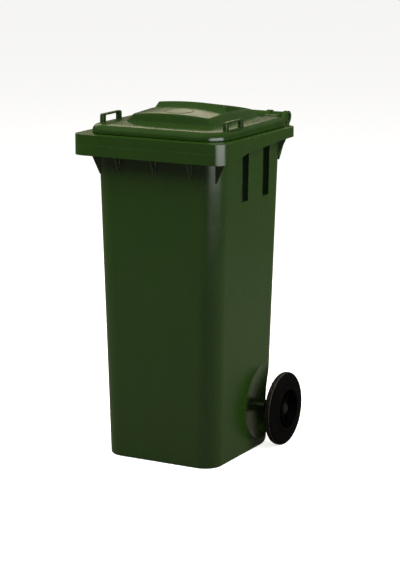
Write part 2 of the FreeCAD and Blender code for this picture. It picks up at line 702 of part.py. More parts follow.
def lid_steps(inset):
    """The two crowned steps of the lid, or the spaces inside them."""
    tag = "Inside" if inset != "0" else ""
    low = f"{DECK_Z} - lid_wall - {SKIM}" if inset != "0" else f"{DECK_Z} - lid_wall / 2"
    rear = f"{LID_REAR} - steps_rear_inset - ({inset})"
    foot = f"step_foot - ({inset})"
    half = f"step_half - ({inset})"
    front = f"{FRONT} + step_front + ({inset})"
    top_front = f"{FRONT} + top_front + ({inset})"
    flat = f"{DECK_Z} - ({inset}) - end_sink"
    high = f"rim_height + step_rise - ({inset})"
    high_mid = f"rim_height + step_rise_mid - ({inset})"
    high_rear = f"rim_height + step_rise_rear - ({inset})"
    first = crowned_block(
        "FirstStep" + tag,
        [
            (front, foot, low, f"{foot} - end_inset", flat, "end_crown"),
            (f"{front} + step_lean", foot, low, half, high, "step_crown"),
            (top_front, foot, low, half, high_mid, "step_crown_mid"),
            (f"{rear} - step_lean", foot, low, half, high_rear, "step_crown"),
            (rear, foot, low, f"{foot} - end_inset", flat, "end_crown"),
        ],
    )
    top_foot = f"top_foot - ({inset})"
    top_half = f"top_half - ({inset})"
    top_half_rear = f"top_half_rear - ({inset})"
    top_high = f"rim_height + top_rise - ({inset})"
    top_high_rear = f"rim_height + top_rise_rear - ({inset})"
    under_mid = f"{high_mid} - top_sink"
    under_rear = f"{high_rear} - top_sink"
    second = crowned_block(
        "SecondStep" + tag,
        [
            (top_front, top_foot, low, f"{top_foot} - end_inset", under_mid, "step_crown_mid"),
            (f"{top_front} + top_lean", top_foot, low, top_half, top_high, "top_crown"),
            (f"{rear} - top_lean", top_foot, low, top_half_rear, top_high_rear, "top_crown"),
            (f"{rear} - step_lean", top_foot, low, f"{top_foot} - end_inset", under_rear, "step_crown"),
        ],
    )
    return first, second


def lid_handle(tag, side):
    """A loop handle standing on the deck near a front corner."""
    x = sorted([f"{side} * grip_out - grip_width / 2", f"{side} * grip_out + grip_width / 2"], key=number)
    y0 = f"{FRONT} + grip_front"
    y1 = f"{y0} + grip_length"
    top = f"{DECK_Z} + grip_high"
    block = box("GripBlock_" + tag, x, (y0, y1), (f"{DECK_Z} - lid_wall / 2", top))
    doc.recompute()
    height = number(top)
    ends = [
        i
        for i, edge in enumerate(block.Shape.Edges, 1)
        if is_at_height(height)(edge) and edge.Vertexes[0].Y == edge.Vertexes[-1].Y
    ]
    rounded = doc.addObject("Part::Fillet", "GripRound_" + tag)
    rounded.Base = block
    rounded.Edges = [(i, number("grip_soft"), number("grip_soft")) for i in ends]
    gap_x = (f"{x[0]} - {CLEAR}", f"{x[1]} + {CLEAR}")
    gap_y = (f"{y0} + grip_leg", f"{y1} - grip_leg")
    gap = box("GripGap_" + tag, gap_x, gap_y, (DECK_Z, f"{top} - grip_bar"))
    return cut("Grip_" + tag, rounded, gap)


def finger_scoop(name, side, inset):
    """The hollow for fingers outside a lid handle, or with an inset the same with its wall."""
    near = f"grip_out + grip_width / 2 - ({inset})"
    ends = sorted([f"{side} * ({near})", f"{side} * collar_width / 2"], key=number)
    middle = f"{FRONT} + grip_front + grip_length / 2"
    height = f"{DECK_Z} + scoop_radius - scoop_depth"
    return rod(name, f"scoop_radius + ({inset})", *ends, middle, height)


def make_lid():
    """The whole lid moulding."""
    edge = "rim_height + lid_gap"
    base, rounded = lid_skirt("LidBase", "0", edge, DECK_Z)
    soften(base, "LidShoulder", rounded, is_at_height(number(DECK_Z)), "lid_shoulder")
    ceiling = f"{DECK_Z} - lid_wall"
    inner, rounded = lid_skirt("LidBaseInside", "lid_wall", f"{edge} - {SKIM}", ceiling)
    soften(inner, "InnerShoulder", rounded, is_at_height(number(ceiling)), "lid_shoulder - lid_wall")
    first, second = lid_steps("0")
    first_in, second_in = lid_steps("lid_wall")
    parts = [base, first, second]
    bores = []
    scoops = []
    scoop_walls = []
    for tag, side in SIDES:
        scoops.append(finger_scoop("FingerScoop_" + tag, side, "0"))
        scoop_walls.append(finger_scoop("ScoopWall_" + tag, side, "lid_wall"))
        parts.append(lid_handle(tag, side))
        near = f"{INNER_LUG_OUT} + knuckle_gap"
        far = f"{LUG_IN} - knuckle_gap"
        ends = (near, far) if side > 0 else (f"-({far})", f"-({near})")
        parts.append(rod("Knuckle_" + tag, "handle_radius", *ends, AXIS_Y, AXIS_Z))
        arm_z = (f"{AXIS_Z} - arm_thick / 2", f"{AXIS_Z} + arm_thick / 2")
        parts.append(box("HingeArm_" + tag, ends, (f"{LID_REAR} - lid_wall / 2", AXIS_Y), arm_z))
        bore = (f"{ends[0]} - {CLEAR}", f"{ends[1]} + {CLEAR}")
        bores.append(rod("KnuckleBore_" + tag, "pin_radius + pin_fit", *bore, AXIS_Y, AXIS_Z))
    hollow = cut("LidHollow", inner, join("ScoopWalls", scoop_walls))
    solid = join("LidSolid", parts)
    return cut("Lid", solid, join("LidCuts", [hollow, first_in, second_in, *scoops, *bores]))


# ---------------------------------------------------------------------------------------------
# Hinge pins, axle and wheels
# ---------------------------------------------------------------------------------------------


def make_hinge_pin(name, side):
    """A plain pin with a dished head that sits flush in the outer lug."""
    head_in = "lug_out - pin_head_thick"
    dish = "(pin_head - pin_head_rim)"
    points = [
        (f"{INNER_LUG_OUT} - pin_grip", "0"),
        (f"{INNER_LUG_OUT} - pin_grip", "pin_radius - end_chamfer"),
        (f"{INNER_LUG_OUT} - pin_grip + end_chamfer", "pin_radius"),
        (head_in, "pin_radius"),
        (head_in, "pin_head"),
        ("lug_out", "pin_head"),
        ("lug_out", dish),
        ("lug_out - pin_head_thick + pin_head_floor", dish),
        ("lug_out - pin_head_thick + pin_head_floor", "0"),
    ]
    return turned(name, points, side, AXIS_Y, AXIS_Z)[0]


def make_axle():
    """A round steel bar with chamfered ends."""
    far = f"{CAP_IN} + cap_height - cap_top"
    points = [
        (f"-({far})", "0"),
        (f"-({far})", "axle_radius - end_chamfer"),
        (f"-({far}) + end_chamfer", "axle_radius"),
        (f"{far} - end_chamfer", "axle_radius"),
        (far, "axle_radius - end_chamfer"),
        (far, "0"),
    ]
    return turned("axle", points, 1, AXLE_Y, AXLE_Z)[0]


def make_cap(name, side):
    """A sprung cap pushed over the end of the axle."""
    points = [
        (CAP_IN, "axle_radius"),
        (CAP_IN, "axle_radius + cap_side"),
        (f"{CAP_IN} + cap_height - cap_slope", "axle_radius + cap_side"),
        (f"{CAP_IN} + cap_height", "axle_radius - end_chamfer"),
        (f"{CAP_IN} + cap_height", "0"),
        (f"{CAP_IN} + cap_height - cap_top", "0"),
        (f"{CAP_IN} + cap_height - cap_top", "axle_radius"),
    ]
    return turned(name, points, side, AXLE_Y, AXLE_Z)[0]


def make_tyre(name, side):
    """A solid rubber tyre with a grooved tread and sloping sidewalls."""
    far = "wheel_out"
    near = "wheel_out - wheel_width"
    tread = [
        ("tyre_slope", "tyre_radius - tyre_slope_drop"),
        ("tread_edge", "tyre_radius"),
        ("groove_edge", "tyre_radius"),
        ("(groove_edge + groove_width / 2)", "tyre_radius - groove_depth"),
        ("(groove_edge + groove_width)", "tyre_radius"),
    ]
    points = [(near, "tyre_seat")]
    points += [(f"{near} + {offset}", radius) for offset, radius in tread]
    points += [(f"{far} - {offset}", radius) for offset, radius in reversed(tread)]
    points.append((far, "tyre_seat"))
    return turned(name, points, side, AXLE_Y, AXLE_Z)[0]


SPOKES = 8


def make_rim(name, side):
    """A moulded rim: hub, web and ring, with windows between the spokes."""
    web = f"({HUB_IN} + hub_length / 2)"
    far = "wheel_out"
    near = "wheel_out - wheel_width"
    points = [
        (HUB_IN, "bush_radius"),
        (HUB_OUT, "bush_radius"),
        (HUB_OUT, "hub_radius"),
        (f"{web} + web_thick / 2", "hub_radius"),
        (f"{web} + web_thick / 2", "tyre_seat - ring_middle"),
        (far, "tyre_seat - ring_edge"),
        (far, "tyre_seat"),
        (near, "tyre_seat"),
        (near, "tyre_seat - ring_edge"),
        (f"{web} - web_thick / 2", "tyre_seat - ring_middle"),
        (f"{web} - web_thick / 2", "hub_radius"),
        (HUB_IN, "hub_radius"),
    ]
    body, turn = turned(name, points, side, AXLE_Y, AXLE_Z)
    rib = body_sketch(body, name + "RibOutline", "XZ_Plane")
    ends = [f"{side} * ({HUB_IN} + spoke_inner_inset)", f"{side} * ({HUB_OUT} - spoke_outer_inset)"]
    outline(
        rib,
        [
            (ends[0], "hub_radius - spoke_root"),
            (ends[1], "hub_radius - spoke_root"),
            (ends[1], "tyre_seat - spoke_end"),
            (ends[0], "tyre_seat - spoke_end"),
        ],
    )
    spoke = body.newObject("PartDesign::Pad", name + "Rib")
    spoke.Profile = rib
    spoke.Midplane = True
    bind(spoke, Length="web_thick")
    doc.recompute()
    spokes = body.newObject("PartDesign::PolarPattern", name + "Ribs")
    spokes.Originals = [spoke]
    spokes.Axis = (turn.Profile[0], ["H_Axis"])
    spokes.Angle = 360
    spokes.Occurrences = SPOKES
    body.Tip = spokes
    doc.recompute()
    return body, spokes, web


def make_windows(name, body, side, web):
    """Windows through the web between the spokes, as one pocket and its pattern."""
    sketch = body_sketch(body, name + "WindowOutline", "YZ_Plane", f"{side} * {web}")
    middle = "((hub_radius + tyre_seat - ring_middle) / 2)"
    radius = "(tyre_seat - ring_middle - hub_radius) / 4"
    angle = math.pi / SPOKES
    centre = Vector(number(middle) * math.cos(angle), number(middle) * math.sin(angle), 0)
    sketch.addGeometry(Part.Circle(centre, Vector(0, 0, 1), number(radius)))
    across = f"{middle} * {math.cos(angle):.6f}"
    up = f"{middle} * {math.sin(angle):.6f}"
    pin_point(sketch, 0, 3, across, up)
    index = sketch.addConstraint(Sketcher.Constraint("Radius", 0, number(radius)))
    sketch.setExpression(f"Constraints[{index}]", s(radius))
    pocket = body.newObject("PartDesign::Pocket", name + "Window")
    pocket.Profile = sketch
    pocket.Midplane = True
    bind(pocket, Length="2 * web_thick")
    doc.recompute()
    pattern = body.newObject("PartDesign::PolarPattern", name + "Windows")
    pattern.Originals = [pocket]
    pattern.Axis = (origin_part(body, "X_Axis"), [""])
    pattern.Angle = 360
    pattern.Occurrences = SPOKES
    body.Tip = pattern
    doc.recompute()
    return pattern


# ---------------------------------------------------------------------------------------------
# Build
# ---------------------------------------------------------------------------------------------
nodes = {"bin_body": make_tub(), "lid": make_lid(), "axle": make_axle()}
for tag, side in SIDES:
    nodes["hinge_pin_" + tag] = make_hinge_pin("hinge_pin_" + tag, side)
    rim, spokes, web = make_rim("wheel_rim_" + tag, side)
    make_windows("wheel_rim_" + tag, rim, side, web)
    nodes["wheel_rim_" + tag] = rim
    nodes["tyre_" + tag] = make_tyre("tyre_" + tag, side)
    turning = "axle_radius + axle_fit"
    pieces = [
        ("spacer_", SPACER_IN, f"{SPACER_IN} + spacer_length", turning, "spacer_radius"),
        ("washer_inner_", WASHER_IN, f"{WASHER_IN} + washer_thick", turning, "washer_radius"),
        ("hub_bush_inner_", HUB_IN, f"{HUB_IN} + bush_length", turning, "bush_radius"),
        ("hub_bush_outer_", f"{HUB_OUT} - bush_length", HUB_OUT, turning, "bush_radius"),
        ("washer_outer_", WASHER_OUT, CAP_IN, turning, "washer_radius"),
    ]
    for prefix, x0, x1, bore, radius in pieces:
        nodes[prefix + tag] = ring(prefix + tag, x0, x1, bore, radius, side)
    nodes["axle_cap_" + tag] = make_cap("axle_cap_" + tag, side)
doc.recompute()

for thing in doc.Objects:
    if "Invalid" in thing.State or "Error" in thing.State:
        raise RuntimeError(f"{thing.Name} failed: {thing.State}")
for name, thing in nodes.items():
    if thing.Shape.isNull() or not thing.Shape.isValid():
        raise RuntimeError(f"{name} has no valid shape")
    thing.Label = name
    solids = len(thing.Shape.Solids)
    print(f"{name}: {solids} solid, {thing.Shape.Volume / 1000:.1f} cm3")
    thing.Shape.exportStep(f"parts/{thing.Label}.step")
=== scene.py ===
import json
import math

import bpy
from mathutils import Matrix, Vector


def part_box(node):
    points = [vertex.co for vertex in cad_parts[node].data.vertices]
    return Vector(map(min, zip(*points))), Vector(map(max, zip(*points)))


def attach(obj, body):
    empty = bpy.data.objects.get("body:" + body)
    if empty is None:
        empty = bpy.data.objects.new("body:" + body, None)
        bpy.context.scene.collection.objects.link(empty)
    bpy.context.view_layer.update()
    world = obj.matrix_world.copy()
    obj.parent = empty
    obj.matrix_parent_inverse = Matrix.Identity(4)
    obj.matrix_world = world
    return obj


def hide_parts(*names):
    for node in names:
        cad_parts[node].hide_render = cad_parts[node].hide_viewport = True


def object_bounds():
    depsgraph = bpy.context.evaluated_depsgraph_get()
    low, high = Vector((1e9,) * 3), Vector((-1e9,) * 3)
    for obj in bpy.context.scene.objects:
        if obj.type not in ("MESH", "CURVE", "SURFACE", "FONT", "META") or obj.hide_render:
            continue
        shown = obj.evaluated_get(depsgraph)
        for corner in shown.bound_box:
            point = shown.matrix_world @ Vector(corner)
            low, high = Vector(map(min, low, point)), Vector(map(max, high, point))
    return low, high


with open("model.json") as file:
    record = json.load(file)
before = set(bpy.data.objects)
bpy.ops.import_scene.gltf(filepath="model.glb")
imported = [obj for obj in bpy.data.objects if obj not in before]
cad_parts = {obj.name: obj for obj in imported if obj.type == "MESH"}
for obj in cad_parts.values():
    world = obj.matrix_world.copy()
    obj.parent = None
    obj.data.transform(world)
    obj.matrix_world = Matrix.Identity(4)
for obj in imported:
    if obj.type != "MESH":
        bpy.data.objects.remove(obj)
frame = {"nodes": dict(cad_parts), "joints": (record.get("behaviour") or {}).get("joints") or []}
nodes = frame["nodes"]
cad_low, cad_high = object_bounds()

MM = 0.001

# ---------------------------------------------------------------------------------------------
# Finishes
# ---------------------------------------------------------------------------------------------


def linear(code):
    """An sRGB hex colour as linear red, green, blue and alpha."""
    parts = [int(code[i:i + 2], 16) / 255 for i in (0, 2, 4)]
    return [c / 12.92 if c <= 0.04045 else ((c + 0.055) / 1.055) ** 2.4 for c in parts] + [1.0]


def add(tree, kind, settings=None, links=None, **sockets):
    """Adds a node with its properties, its input values and links, by socket name or number."""
    node = tree.nodes.new(kind)
    for name, value in (settings or {}).items():
        setattr(node, name, value)
    inputs = dict(links or {})
    inputs.update(sockets)
    for name, value in inputs.items():
        socket = node.inputs[name]
        if isinstance(value, bpy.types.NodeSocket):
            tree.links.new(value, socket)
        else:
            socket.default_value = value
    return node


def finish_of(name, **values):
    """A new material with values on its shader's own sockets; an underscore stands for a space."""
    material = bpy.data.materials.new(name)
    material.use_nodes = True
    shader = material.node_tree.nodes["Principled BSDF"]
    for key, value in values.items():
        shader.inputs[key.replace("_", " ")].default_value = value
    return material, material.node_tree, shader


# Painted reflection streaks run down the walls as a tone that changes between two greens, about 160 mm long
# and 45 mm wide: this many to a metre along X, Y and Z
PAINTED_STREAKS = (22, 22, 6)


def moulded_hdpe(name, colour, painted_streak_colour, roughness, grain, edge):
    """Injection moulded HDPE: a waxy, half-gloss skin with painted reflection streaks and sink waves."""
    material, tree, shader = finish_of(name, IOR=1.5, Roughness=roughness, Specular_IOR_Level=0.42)
    place = add(tree, "ShaderNodeTexCoord").outputs["Object"]
    # Painted reflection streaks: the colour runs between the base green and a darker green in streaks that
    # are long down the walls
    run = add(tree, "ShaderNodeMapping", Vector=place, Scale=PAINTED_STREAKS).outputs[0]
    painted_streak = add(tree, "ShaderNodeTexNoise", Vector=run, Scale=1.0, Detail=4.0).outputs["Fac"]
    tint = add(
        tree,
        "ShaderNodeMix",
        {"data_type": "RGBA"},
        {0: painted_streak, 6: linear(colour), 7: linear(painted_streak_colour)},
    ).outputs[2]
    tree.links.new(tint, shader.inputs["Base Color"])
    # Handling dulls the skin in patches of about 45 mm
    patch = add(tree, "ShaderNodeTexNoise", Vector=place, Scale=1 / (45 * MM), Detail=3.0).outputs["Fac"]
    gloss = add(
        tree, "ShaderNodeMapRange", links={0: patch, 3: roughness - 0.05, 4: roughness + 0.07}
    ).outputs[0]
    tree.links.new(gloss, shader.inputs["Roughness"])
    # Spark-eroded mould grain is 0.2 mm; it is drawn at 1.2 mm so that it shows, over 80 mm sink waves
    fine = add(tree, "ShaderNodeTexNoise", Vector=place, Scale=1 / (1.2 * MM), Detail=2.0).outputs["Fac"]
    wave = add(tree, "ShaderNodeTexNoise", Vector=place, Scale=1 / (80 * MM), Detail=1.0).outputs["Fac"]
    edges = add(tree, "ShaderNodeBevel", {"samples": 6}, Radius=edge * MM).outputs[0]
    sunk = add(
        tree, "ShaderNodeBump", Height=wave, Strength=0.3, Distance=1.0 * MM, Normal=edges
    ).outputs[0]
    skin = add(
        tree, "ShaderNodeBump", Height=fine, Strength=grain, Distance=0.04 * MM, Normal=sunk
    ).outputs[0]
    tree.links.new(skin, shader.inputs["Normal"])
    return material


def moulded_rubber(name, colour, dust_colour, share):
    """Moulded solid rubber: nearly black, dull, with grey dust in its pores."""
    material, tree, shader = finish_of(name, IOR=1.52, Roughness=0.8, Specular_IOR_Level=0.03)
    place = add(tree, "ShaderNodeTexCoord").outputs["Object"]
    # Dust lies in patches of about 15 mm, and share says how far it covers the black
    dust = add(tree, "ShaderNodeTexNoise", Vector=place, Scale=1 / (15 * MM), Detail=6.0).outputs["Fac"]
    worn = add(tree, "ShaderNodeMapRange", links={0: dust, 1: 0.35, 2: 0.75, 3: 0.0, 4: share}).outputs[0]
    tint = add(
        tree,
        "ShaderNodeMix",
        {"data_type": "RGBA"},
        {0: worn, 6: linear(colour), 7: linear(dust_colour)},
    ).outputs[2]
    tree.links.new(tint, shader.inputs["Base Color"])
    # Pores of 0.9 mm break up what little gloss it has
    pores = add(tree, "ShaderNodeTexNoise", Vector=place, Scale=1 / (0.9 * MM), Detail=3.0).outputs["Fac"]
    skin = add(tree, "ShaderNodeBump", Height=pores, Strength=0.4, Distance=0.1 * MM).outputs[0]
    tree.links.new(skin, shader.inputs["Normal"])
    return material


def fine_grained(name, colour, roughness, metallic=0.0, speck=0.8):
    """A dull moulding or a plated steel: a fine grain, speck mm wide, in its gloss and its colour."""
    material, tree, shader = finish_of(name, Roughness=roughness, Metallic=metallic)
    if not metallic:
        shader.inputs["Specular IOR Level"].default_value = 0.05
    place = add(tree, "ShaderNodeTexCoord").outputs["Object"]
    grain = add(tree, "ShaderNodeTexNoise", Vector=place, Scale=1 / (speck * MM), Detail=3.0).outputs["Fac"]
    gloss = add(
        tree, "ShaderNodeMapRange", links={0: grain, 3: roughness - 0.08, 4: roughness + 0.08}
    ).outputs[0]
    tree.links.new(gloss, shader.inputs["Roughness"])
    dark = [c * 0.75 for c in linear(colour)[:3]] + [1.0]
    tint = add(
        tree, "ShaderNodeMix", {"data_type": "RGBA"}, {0: grain, 6: dark, 7: linear(colour)}
    ).outputs[2]
    tree.links.new(tint, shader.inputs["Base Color"])
    edges = add(tree, "ShaderNodeBevel", {"samples": 4}, Radius=0.6 * MM).outputs[0]
    skin = add(
        tree, "ShaderNodeBump", Height=grain, Strength=0.25, Distance=0.05 * MM, Normal=edges
    ).outputs[0]
    tree.links.new(skin, shader.inputs["Normal"])
    return material


# Both are dark green, each with a darker green for its painted reflection streaks; the lid's mould is
# smoother, so the lid is glossier
tub_hdpe = moulded_hdpe("injection_moulded_HDPE_tub", "213b0d", "1c340e", 0.25, 0.3, 1.6)
lid_hdpe = moulded_hdpe("injection_moulded_HDPE_lid", "20370f", "1a300d", 0.22, 0.05, 1.0)
rubber = moulded_rubber("moulded_solid_rubber", "060605", "141210", 0.45)
# The tread picks up pavement dust
tread_rubber = moulded_rubber("worn_tread_rubber", "3a3733", "5d5951", 0.7)
rim_pp = fine_grained("moulded_black_polypropylene", "050405", 0.55)
bush_nylon = fine_grained("moulded_black_nylon", "141414", 0.5)
cap_pp = fine_grained("moulded_black_cap", "1c1c1e", 0.3)
bar_steel = fine_grained("zinc_plated_steel", "a9acb0", 0.34, 1.0, 1.5)
washer_steel = fine_grained("black_passivated_zinc", "26262a", 0.5, 1.0, 1.5)

looks = {"bin_body": tub_hdpe, "lid": lid_hdpe, "axle": bar_steel}
for side in ("left", "right"):
    looks["tyre_" + side] = rubber
    looks["wheel_rim_" + side] = rim_pp
    looks["spacer_" + side] = rim_pp
    looks["hinge_pin_" + side] = lid_hdpe
    looks["axle_cap_" + side] = cap_pp
    looks["hub_bush_inner_" + side] = bush_nylon
    looks["hub_bush_outer_" + side] = bush_nylon
    looks["washer_inner_" + side] = washer_steel
    looks["washer_outer_" + side] = washer_steel
for name, node in nodes.items():
    node.data.materials.clear()
    node.data.materials.append(looks[name])

# ---------------------------------------------------------------------------------------------
# Mesh making
# ---------------------------------------------------------------------------------------------


def piece(name, points, faces, material, body):
    """A smooth-shaded mesh piece in millimetres, riding on a body."""
    mesh = bpy.data.meshes.new(name)
    mesh.from_pydata([[c * MM for c in p] for p in points], [], faces)
    mesh.validate()
    mesh.shade_smooth()
    mesh.materials.append(material)
    thing = bpy.data.objects.new(name, mesh)
    bpy.context.scene.collection.objects.link(thing)
    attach(thing, body)
    return thing


def soften(thing, width, segments, angle):
    """Rounds the edges of a piece that turn by more than an angle in degrees."""
    soft = thing.modifiers.new("soft", "BEVEL")
    soft.width = width * MM
    soft.segments = segments
    soft.limit_method = "ANGLE"
    soft.angle_limit = math.radians(angle)


def skin_faces(loops, n, around):
    """Quads between neighbouring loops of n points; around joins the last loop to the first too."""
    faces = []
    for k in range(loops if around else loops - 1):
        after = (k + 1) % loops
        for i in range(n):
            j = (i + 1) % n
            faces.append((k * n + i, k * n + j, after * n + j, after * n + i))
    return faces


def turned_over(faces):
    """The same faces, seen from their other side."""
    return [tuple(reversed(face)) for face in faces]


def lathe(profile, steps):
    """Points and faces of a closed profile of (along X, radius) turned about the X axis."""
    points = []
    for k in range(steps):
        a = 2 * math.pi * k / steps
        points += [(x, r * math.cos(a), r * math.sin(a)) for x, r in profile]
    return points, skin_faces(steps, len(profile), around=True)


# Points along an outline's quarter corners, its front and rear edges, and its sides
CORNER_STEPS = 8
END_STEPS = 14
SIDE_STEPS = 24


def outline_ring(half, front, rear, corner, rear_corner=None):
    """Points round a rounded rectangle, counter-clockwise from its rear left corner."""
    back = rear_corner or corner
    # Each corner has a centre, the angle in degrees at which its arc starts, and a radius
    corners = [
        (half - back, rear - back, 0, back),
        (back - half, rear - back, 90, back),
        (corner - half, front + corner, 180, corner),
        (half - corner, front + corner, 270, corner),
    ]
    straight = [END_STEPS, SIDE_STEPS, END_STEPS, SIDE_STEPS]
    ring = []
    for k, (cx, cy, start, radius) in enumerate(corners):
        for i in range(CORNER_STEPS + 1):
            a = math.radians(start + 90 * i / CORNER_STEPS)
            ring.append((cx + radius * math.cos(a), cy + radius * math.sin(a)))
        x, y = ring[-1]
        next_cx, next_cy, next_start, next_radius = corners[(k + 1) % len(corners)]
        a = math.radians(next_start)
        end_x = next_cx + next_radius * math.cos(a)
        end_y = next_cy + next_radius * math.sin(a)
        for i in range(1, straight[k]):
            share = i / straight[k]
            ring.append((x + (end_x - x) * share, y + (end_y - y) * share))
    return ring


# ---------------------------------------------------------------------------------------------
# Lid: deck with a soft shoulder, two crowned steps, finger scoops
# ---------------------------------------------------------------------------------------------
lid_low, lid_high = (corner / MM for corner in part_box("lid"))
hinge = next(j for j in frame["joints"] if j["name"] == "lid_hinge")
axis_y, axis_z = (hinge["pos_m"][i] / MM for i in (1, 2))

LID_HALF = lid_high.x
LID_FRONT = lid_low.y
LID_REAR = axis_y - 49
LID_EDGE = lid_low.z
LID_WALL = 3.5
DECK = LID_EDGE + 23.2

# Corner radii of the skirt at its lip, and the least that they shrink to further in
FRONT_CORNER = 60
REAR_CORNER = 40
LEAST_FRONT_CORNER = 20
LEAST_REAR_CORNER = 14

# The skirt and its soft shoulder, from the lip up to the deck: how far in, and how high
SKIRT = [
    (0.6, 0.0),
    (0.0, 0.8),
    (0.0, 3.0),
    (0.1, 6.0),
    (0.7, 9.4),
    (1.9, 12.6),
    (3.9, 15.8),
    (6.6, 18.5),
    (10.0, 20.5),
    (13.2, 21.6),
    (14.0, 21.8),
    (14.8, 22.0),
    (19.0, 22.7),
    (25.0, 23.1),
    (33.0, 23.2),
    (45.0, 23.2),
]

# In front of this line the deck falls away, by this share of its height at the lid's front
FALL_FROM = -120.0
FRONT_FALL = 0.05
FALL_CURVE = 1.3

# A finger scoop runs out to each side through the shoulder, as a hollow round a line along X.
# ROUNDING lets a point on its inner edge count as in it.
SCOOP_X = 186.0
SCOOP_Y = -108.0
SCOOP_RADIUS = 150.0
SCOOP_DEPTH = 7.0
ROUNDING = 0.01

# Rings round the first step's foot: half width, front, rear, corner radius, height over the deck
FOOT_RINGS = [
    (135.5, -124.0, 144.0, 14, 0.0),
    (132.8, -121.2, 141.2, 12, 0.15),
    (131.4, -119.6, 139.6, 11, 1.0),
]

# A step's flank has rings at these shares of its height. It starts from an outline, given by its half
# width, front and rear, and leans in from each of those by so much.
FIRST_FLANK_SHARES = (0.25, 0.75, 0.93)
FIRST_FLANK = (131.4, -119.6, 139.6)
FIRST_LEAN = (18, 6.5, 6.5)
FIRST_FLANK_CORNER = 10
FIRST_FLANK_FOOT = 1
SECOND_FLANK_SHARES = (0.2, 0.75, 0.93)
SECOND_FLANK = (105.4, -13, 129.2)
SECOND_LEAN = (4.6, 14.2, 5.0)
SECOND_FLANK_CORNER = 6

# Along Y, the height of a step's side edge over the deck, and how much higher its middle is
FIRST_HALF = 113
FIRST_EDGE = [(-113, 20.5), (-13, 25), (133, 18)]
FIRST_CROWN = [(-113, 6), (-13, 9), (133, 6)]
SECOND_HALF = 101
SECOND_EDGE = [(2, 41), (125, 21)]
SECOND_CROWN = 5

# Rings over a step's top: half width, front, rear, corner radius, and how far it sinks below the top
FIRST_TOP = [
    (112.2, -112.2, 132.6, 9, 0.5),
    (110.4, -110.2, 131.9, 8.5, 0.0),
    (108.8, -104.0, 131.0, 8, 0.0),
    (108.2, -64.0, 130.6, 7.5, 0.0),
    (107.6, -20.0, 130.2, 7, 0.0),
    (106.4, -14.6, 129.8, 6.5, 0.0),
    (105.6, -13.2, 129.4, 6, -0.5),
]
SECOND_TOP = [
    (100.0, 2.4, 123.4, 6, 0.45),
    (98.4, 4.4, 121.8, 6, 0.0),
    (95.0, 9.0, 118.0, 6, 0.0),
    (78.0, 24.0, 102.0, 6, 0.0),
    (50.0, 44.0, 82.0, 6, 0.0),
    (20.0, 56.0, 70.0, 5, 0.0),
]


def blend_between(y, stops):
    """Straight-line value at y between (y, value) stops."""
    for (y0, v0), (y1, v1) in zip(stops, stops[1:]):
        if y <= y1:
            return v0 + (v1 - v0) * max(0.0, (y - y0) / (y1 - y0))
    return stops[-1][1]


def first_top(x, y):
    """Height of the first step's crowned top."""
    edge = blend_between(y, FIRST_EDGE)
    crown = blend_between(y, FIRST_CROWN)
    return DECK + edge + crown * (1 - (x / FIRST_HALF) ** 2)


def second_top(x, y):
    """Height of the second step's crowned top."""
    edge = blend_between(y, SECOND_EDGE)
    return DECK + edge + SECOND_CROWN * (1 - (x / SECOND_HALF) ** 2)


def scooped(x, y, z):
    """z, lowered where a finger scoop runs out through the lid's shoulder."""
    along = SCOOP_RADIUS ** 2 - (y - SCOOP_Y) ** 2
    if abs(x) < SCOOP_X - ROUNDING or along <= 0:
        return z
    return min(z, DECK + SCOOP_RADIUS - SCOOP_DEPTH - math.sqrt(along))


def falling(y):
    """Share of its height that the skirt or deck keeps as it falls away towards the front."""
    return 1 - FRONT_FALL * max(0.0, (FALL_FROM - y) / (FALL_FROM - LID_FRONT)) ** FALL_CURVE


def skirt_outline(inset):
    """Outline of the skirt or deck, at a distance in from the lip."""
    front_corner = max(FRONT_CORNER - inset, LEAST_FRONT_CORNER)
    rear_corner = max(REAR_CORNER - inset, LEAST_REAR_CORNER)
    return outline_ring(LID_HALF - inset, LID_FRONT + inset, LID_REAR - inset, front_corner, rear_corner)


def flank_outline(foot, lean, corner, share):
    """Outline of a step's flank, a share of the way in from its foot."""
    half, front, rear = foot
    side, ahead, behind = lean
    return outline_ring(half - side * share, front + ahead * share, rear - behind * share, corner)


def lid_rings():
    """Rings of the lid's outer skin, from its lower lip to the middle of the top step."""
    rings = []
    for inset, rise in SKIRT:
        rings.append([(x, y, scooped(x, y, LID_EDGE + rise * falling(y))) for x, y in skirt_outline(inset)])
    for half, front, rear, corner, rise in FOOT_RINGS:
        rings.append([(x, y, DECK + rise) for x, y in outline_ring(half, front, rear, corner)])
    for share in FIRST_FLANK_SHARES:
        ring = []
        for x, y in flank_outline(FIRST_FLANK, FIRST_LEAN, FIRST_FLANK_CORNER, share):
            climb = first_top(x, y) - DECK - FIRST_FLANK_FOOT
            ring.append((x, y, DECK + FIRST_FLANK_FOOT + climb * share))
        rings.append(ring)
    for half, front, rear, corner, sink in FIRST_TOP:
        rings.append([(x, y, first_top(x, y) - sink) for x, y in outline_ring(half, front, rear, corner)])
    for share in SECOND_FLANK_SHARES:
        ring = []
        for x, y in flank_outline(SECOND_FLANK, SECOND_LEAN, SECOND_FLANK_CORNER, share):
            climb = second_top(x, y) - first_top(x, y)
            ring.append((x, y, first_top(x, y) + climb * share))
        rings.append(ring)
    for half, front, rear, corner, sink in SECOND_TOP:
        rings.append([(x, y, second_top(x, y) - sink) for x, y in outline_ring(half, front, rear, corner)])
    return rings


def make_lid_shell():
    """The lid's skin, thickened inwards."""
    rings = lid_rings()
    n = len(rings[0])
    points = [p for ring in rings for p in ring]
    faces = skin_faces(len(rings), n, around=False)
    # One flat face closes the last ring
    last = (len(rings) - 1) * n
    faces.append(tuple(last + i for i in range(n)))
    shell = piece("lid_shell", points, faces, lid_hdpe, "lid")
    wall = shell.modifiers.new("wall", "SOLIDIFY")
    wall.thickness = LID_WALL * MM
    wall.offset = -1.0
    smooth = shell.modifiers.new("smooth", "SUBSURF")
    smooth.levels = 1
    smooth.render_levels = 1
    return shell


